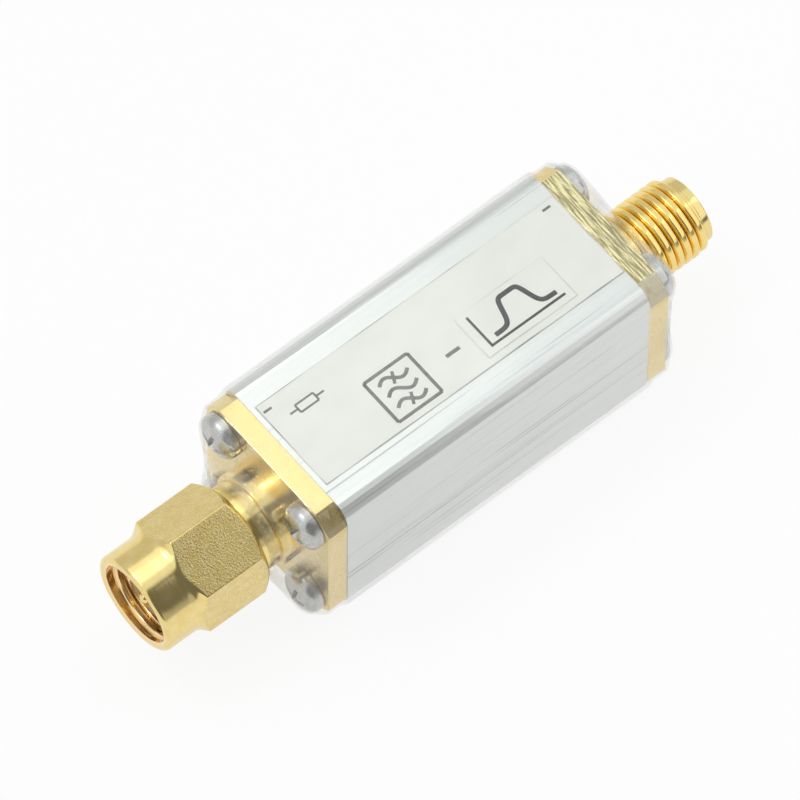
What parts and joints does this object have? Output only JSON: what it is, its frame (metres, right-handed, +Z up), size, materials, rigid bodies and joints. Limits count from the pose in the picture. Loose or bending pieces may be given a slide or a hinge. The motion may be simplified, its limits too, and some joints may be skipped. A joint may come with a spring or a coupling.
{
  "type": "coaxial band-pass filter",
  "caption": "In-line RF band-pass filter: square aluminium body in clear heat-shrink, gold-plated coaxial plug with coupling nut at one end and threaded jack at the other.",
  "frame": {"origin": "on the underside of the sleeve, below the middle of the extruded body", "axes": "+X along the coaxial line from the plug to the jack, +Z up out of the label face"},
  "size_m": [0.0504, 0.014, 0.014],
  "materials": {
    "aluminium": "drawn extrusion with fine streaks along its length",
    "gold_plate": "gold plate on turned and milled brass",
    "steel": "bright plated steel",
    "dielectric": "white moulded dielectric",
    "board": "green solder mask on glass-fibre board",
    "dark_ceramic": "dark ceramic with tinned ends",
    "tan_ceramic": "tan ceramic with tinned ends",
    "label_paper": "off-white printed sticker",
    "clear_film": "clear heat-shrink film"
  },
  "bodies": {
    "filter": {"housing_tube": "aluminium", "plug_body": "gold_plate", "snap_ring": "steel", "plug_dielectric": "dielectric", "plug_centre_pin": "gold_plate", "jack_body": "gold_plate", "jack_dielectric": "dielectric", "jack_centre_contact": "gold_plate", "circuit_board": "board", "inductor_1": "dark_ceramic", "inductor_2": "dark_ceramic", "inductor_3": "dark_ceramic", "capacitor_1": "tan_ceramic", "capacitor_2": "tan_ceramic", "capacitor_3": "tan_ceramic", "capacitor_4": "tan_ceramic", "plug_screw_1": "steel", "plug_screw_2": "steel", "plug_screw_3": "steel", "plug_screw_4": "steel", "jack_screw_1": "steel", "jack_screw_2": "steel", "jack_screw_3": "steel", "jack_screw_4": "steel", "label": "label_paper", "label_patch": "label_paper", "heat_shrink_sleeve": "clear_film"},
    "nut": {"coupling_nut": "gold_plate"}
  },
  "joints": [
    {"name": "nut_spin", "type": "hinge", "parent": "filter", "child": "nut", "pos_m": [-0.02286, 0, 0.00698], "axis": [-1, 0, 0], "continuous": true}
  ]
}
